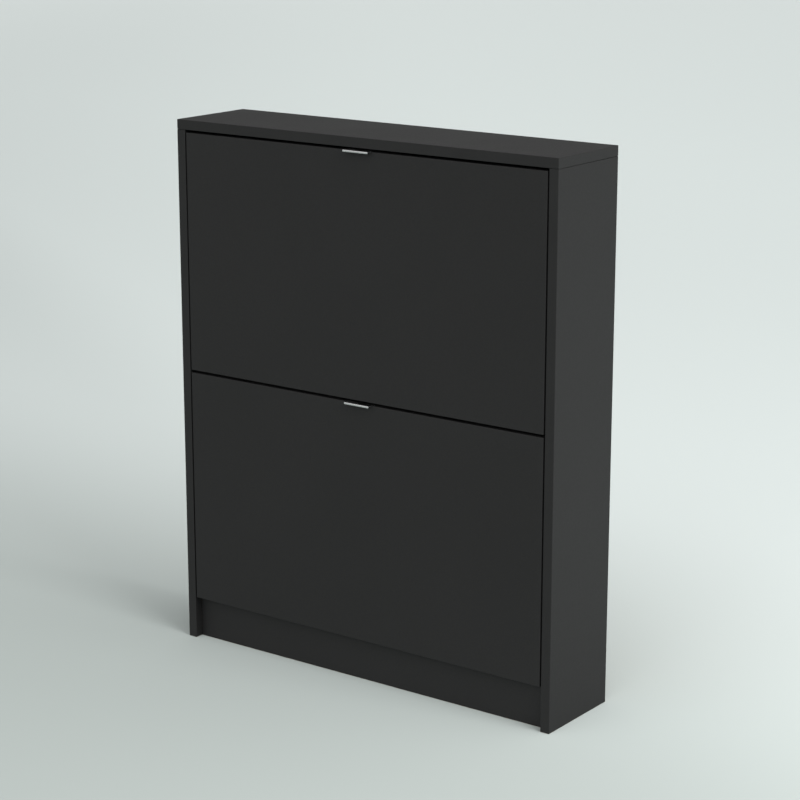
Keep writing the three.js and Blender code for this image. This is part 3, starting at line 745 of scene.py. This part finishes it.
def bracket(level, side):
    node = f"{level}_bracket_{side}"
    s = 1 if side == "right" else -1
    body = BODY_OF[node]
    P = PIVOTS[body]
    lo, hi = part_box(node)
    end_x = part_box(f"{level}_door_panel")[1][0]            # outer face of the bracket plates
    flange = lo.y - P.y                                    # all from here is measured from the pivot
    rear = hi.y - P.y
    low = lo.z - P.z
    high = hi.z - P.z
    t = 2.5 * MM
    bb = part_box(f"{level}_bin_back_board")
    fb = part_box(f"{level}_bin_floor_board")
    back_in, back_out = bb[0][1] - P.y, bb[1][1] - P.y
    floor_hi = fb[1][2] - P.z
    bin_top = bb[1][2] - P.z
    g, rib = 0.3 * MM, 2 * MM
    curve = bezier((rear, bin_top + 3 * MM), (80 * MM, 172 * MM), (52 * MM, 222 * MM), (12 * MM, 226 * MM), 28)
    c0 = 3.0 * MM
    outline = [(flange, low), (rear - c0, low)] + arc(rear - c0, low + c0, c0, -90, 0, 5)[1:] + curve + [(flange, high)]
    X = lambda mm: s * (end_x - mm)

    def B(xa, xb, ya, yb, za, zb):
        return box_me(min(xa, xb), max(xa, xb), ya, yb, za, zb)

    plate = prism_me(outline, X(t), X(0))
    rim_in = []
    for i, (y, z) in enumerate(curve):
        a, b = curve[max(i - 1, 0)], curve[min(i + 1, len(curve) - 1)]
        dy, dz = b[0] - a[0], b[1] - a[1]
        l = math.hypot(dy, dz)
        rim_in.append((y - 2 * MM * dz / l, z + 2 * MM * dy / l))
    rim = prism_me(curve + [(flange, high), (flange, high - 2 * MM)] + rim_in[::-1], X(t + 6 * MM), X(1 * MM))
    adds = [
        B(X(22 * MM), X(0), flange, flange + 2 * MM, low, high),
        B(X(t + 12 * MM), X(1 * MM), flange + MM, rear - 0.01 * MM, low, low + rib),
        B(X(t + 12 * MM), X(1 * MM), flange + MM, back_in - g, floor_hi + g, floor_hi + g + rib),
        B(X(t + 12 * MM), X(1 * MM), back_in - g - rib, back_in - g, floor_hi + g, bin_top),
        B(X(t + 12 * MM), X(1 * MM), back_out + g, rear, low, bin_top + 2 * MM),
        rim,
    ]
    # gussets between the flange and the plate
    for z in (-30, 55, 90, 125, 160, 212):
        z = z * MM
        tri = [(X(1 * MM), flange + MM), (X(18 * MM), flange + MM), (X(1 * MM), flange + 15 * MM)]
        bm = bmesh.new()
        a = [bm.verts.new((x, y, z - 0.8 * MM)) for x, y in tri]
        b = [bm.verts.new((x, y, z + 0.8 * MM)) for x, y in tri]
        bm.faces.new(a[::-1])
        bm.faces.new(b)
        for i in range(3):
            j = (i + 1) % 3
            bm.faces.new((a[i], a[j], b[j], b[i]))
        bmesh.ops.recalc_face_normals(bm, faces=bm.faces)
        adds.append(mesh_of(bm))
    # raised border round the arc slot
    a0, a1 = 50.0, 8.0
    R, h = 75 * MM, 3.0 * MM

    def slot_outline(w, n=20):
        o = arc(0, 0, R + w, a1, a0, n)
        o += arc(R * math.cos(math.radians(a0)), R * math.sin(math.radians(a0)), w, a0, a0 + 180, 10)[1:]
        o += arc(0, 0, R - w, a0, a1, n)[1:]
        o += arc(R * math.cos(math.radians(a1)), R * math.sin(math.radians(a1)), w, a1 + 180, a1 + 360, 10)[1:-1]
        return o

    adds.append(prism_me(slot_outline(h + 2.0 * MM), X(t + 0.45 * MM), X(1 * MM)))
    adds.append(rod_me("x", 6.5 * MM, min(X(2 * MM), X(-1.3 * MM)), max(X(2 * MM), X(-1.3 * MM)), 0, 0, 48))
    adds.append(rod_me("x", 9.0 * MM, min(X(t + 1.2 * MM), X(1 * MM)), max(X(t + 1.2 * MM), X(1 * MM)), 6.2 * MM, 0, 48))
    inner = INNER * 1.0
    adds.append(rod_me("x", 3.85 * MM, min(X(1 * MM), s * (inner + 8.9 * MM)), max(X(1 * MM), s * (inner + 8.9 * MM)), 0, 0, 48))
    me = boolean(plate, adds, "UNION")
    cuts = [prism_me(slot_outline(h), X(20 * MM), X(-5 * MM)),
            B(X(40 * MM), X(-0.005 * MM), flange - 30 * MM, flange, low - MM, high + MM),
            B(X(40 * MM), X(-2 * MM), flange - 30 * MM, flange, -20 * MM, 20 * MM)]
    for where in ("low", "high"):
        c, _, _ = centre(f"{level}_bracket_screw_{side}_{where}")
        cuts.append(rod_me("y", 1.9 * MM, flange - MM, flange + 3 * MM, c.x, c.z - P.z, 24))
    me = boolean(me, cuts)
    me.transform(Matrix.Translation((0, P.y, P.z)))
    obj = finish_mesh(me, node + "_moulding", [M_PLASTIC], bevel=0.22 * MM, segs=2, angle=45.0)
    return stand_for(obj, node)


for level in ("lower", "upper"):
    for side in ("left", "right"):
        bracket(level, side)


# ------------------------------------------------------------------ floor, light, camera
# painted light: the far floor is given a paler tone, so that it meets the bright horizon of the world light
FAR_PAINTED_LIGHT_TONE = (0.747, 0.814, 0.795)
PALE = (0.665, 0.716, 0.697)


def make_stage():
    size, ring = 60.0, 96
    bm = bmesh.new()
    bmesh.ops.create_circle(bm, cap_ends=True, radius=size, segments=ring)
    for v in bm.verts:
        v.co.z = -0.0002
    me = mesh_of(bm, "floor")
    floor = link(bpy.data.objects.new("floor", me))
    mat, nt, bsdf = material("floor_with_painted_light")
    tc = nt.nodes.new("ShaderNodeTexCoord")
    pos = tc.outputs["Object"]

    def sweep(direction, start, end, lo, hi):
        dot = nt.nodes.new("ShaderNodeVectorMath")
        dot.operation = "DOT_PRODUCT"
        nt.links.new(pos, dot.inputs[0])
        dot.inputs[1].default_value = direction
        m = nt.nodes.new("ShaderNodeMapRange")
        m.interpolation_type = "SMOOTHSTEP"
        for key, v in (("From Min", start), ("From Max", end), ("To Min", lo), ("To Max", hi)):
            m.inputs[key].default_value = v
        nt.links.new(dot.outputs["Value"], m.inputs["Value"])
        return m.outputs["Result"]

    # painted light and shade on the floor: darker in front of the cabinet and to the left, paler behind it and towards
    # the right, where the studio light falls
    painted_shade_front_light_back = mix_col(nt, sweep((0, 1, 0), -0.4, 1.0, 0.0, 1.0), (0.431, 0.484, 0.463), (0.599, 0.659, 0.643))
    scale = nt.nodes.new("ShaderNodeVectorMath")
    scale.operation = "SCALE"
    nt.links.new(painted_shade_front_light_back, scale.inputs[0])
    # painted light: the floor paler towards the right, darker towards the left where the cabinet's shadow falls
    painted_side_light = sweep((0.805, 0.594, 0), -2.4, 0.4, 0.93, 1.06)
    # painted light: the floor paler far behind the cabinet
    painted_far_light = sweep((0, 1, 0), 1.6, 5.5, 1.0, 1.07)
    # painted light: a paler patch on the floor behind the cabinet's right side, standing in for light from the back
    # right
    painted_back_right_light = sweep((0.5, 0.866, 0), 0.05, 0.6, 1.0, 1.10)
    painted_light_and_shade = add_math(nt, "MULTIPLY", painted_side_light, painted_far_light)
    nt.links.new(add_math(nt, "MULTIPLY", painted_light_and_shade, painted_back_right_light), scale.inputs["Scale"])
    # painted light: beyond 6 m the floor blends into the paler far tone
    reach = nt.nodes.new("ShaderNodeVectorMath")
    reach.operation = "LENGTH"
    nt.links.new(pos, reach.inputs[0])
    ring = nt.nodes.new("ShaderNodeMapRange")
    ring.interpolation_type = "SMOOTHSTEP"
    ring.inputs["From Min"].default_value = 6.0
    ring.inputs["From Max"].default_value = 20.0
    nt.links.new(reach.outputs["Value"], ring.inputs["Value"])
    nt.links.new(mix_col(nt, ring.outputs["Result"], scale.outputs[0], FAR_PAINTED_LIGHT_TONE), bsdf.inputs["Base Color"])
    n = noise_tex(nt, pos, 0.6)
    nt.links.new(span(nt, n, 0.88, 0.92), bsdf.inputs["Roughness"])
    bsdf.inputs["Specular IOR Level"].default_value = 0.1
    me.materials.append(mat)


make_stage()


def area(name, loc, target, size, power, colour=(1, 1, 1)):
    data = bpy.data.lights.new(name, "AREA")
    data.shape = "RECTANGLE"
    data.size, data.size_y = size
    data.energy = power
    data.color = colour
    obj = link(bpy.data.objects.new(name, data))
    obj.location = loc
    obj.rotation_mode = "QUATERNION"
    obj.rotation_quaternion = (Vector(target) - Vector(loc)).to_track_quat("-Z", "Y")
    return obj


SOFT = (1.0, 0.98, 0.985)


def make_world(even, lobes):
    """An even grey surround, with wide soft lobes of light: (direction, sharpness, strength). Near the
    horizon it takes the floor's own pale tone, so that floor and background run together."""
    world = bpy.data.worlds.new("studio")
    bpy.context.scene.world = world
    world.use_nodes = True
    nt = world.node_tree
    bg = nt.nodes["Background"]
    tc = nt.nodes.new("ShaderNodeTexCoord")
    total = even
    for direction, power, strength in lobes:
        dot = nt.nodes.new("ShaderNodeVectorMath")
        dot.operation = "DOT_PRODUCT"
        nt.links.new(tc.outputs["Generated"], dot.inputs[0])
        dot.inputs[1].default_value = Vector(direction).normalized()
        lit = add_math(nt, "MAXIMUM", dot.outputs["Value"], 0.0)
        if power != 1:
            lit = add_math(nt, "POWER", lit, power)
        total = add_math(nt, "ADD", add_math(nt, "MULTIPLY", lit, strength), total)
    glow = nt.nodes.new("ShaderNodeVectorMath")
    glow.operation = "SCALE"
    glow.inputs[0].default_value = SOFT
    nt.links.new(total, glow.inputs["Scale"])
    split = nt.nodes.new("ShaderNodeSeparateXYZ")
    nt.links.new(tc.outputs["Generated"], split.inputs[0])
    rise = nt.nodes.new("ShaderNodeMapRange")
    rise.interpolation_type = "SMOOTHSTEP"
    rise.inputs["From Min"].default_value = 0.13
    rise.inputs["From Max"].default_value = 0.27
    nt.links.new(split.outputs["Z"], rise.inputs["Value"])
    nt.links.new(mix_col(nt, rise.outputs["Result"], PALE, glow.outputs[0]), bg.inputs[0])
    bg.inputs[1].default_value = 1.0


def towards(azimuth, elevation):
    a, e = math.radians(azimuth), math.radians(elevation)
    return (math.sin(a) * math.cos(e), -math.cos(a) * math.cos(e), math.sin(e))


make_world(0.28, [(towards(0, 18), 4, 2.34), (towards(90, 18), 4, 1.42), (towards(90, 50), 4, 0.60),
                  (towards(225, 30), 4, 0.05)])
area("key", (3.4, -0.6, 2.6), (0, 0, 0.3), (2.4, 2.4), 112.0, SOFT)

cam_data = bpy.data.cameras.new("camera")
cam_data.sensor_width = 36.0
cam_data.lens = 102.05
cam = link(bpy.data.objects.new("camera", cam_data))
cam.location = (2.0171, -2.6990, 1.3039)
cam.rotation_euler = (math.radians(90 - 14.414), 0, math.radians(36.433))
cam_data.clip_end = 200
bpy.context.scene.camera = cam
bpy.context.scene.view_settings.view_transform = "Standard"
bpy.context.scene.view_settings.look = "None"
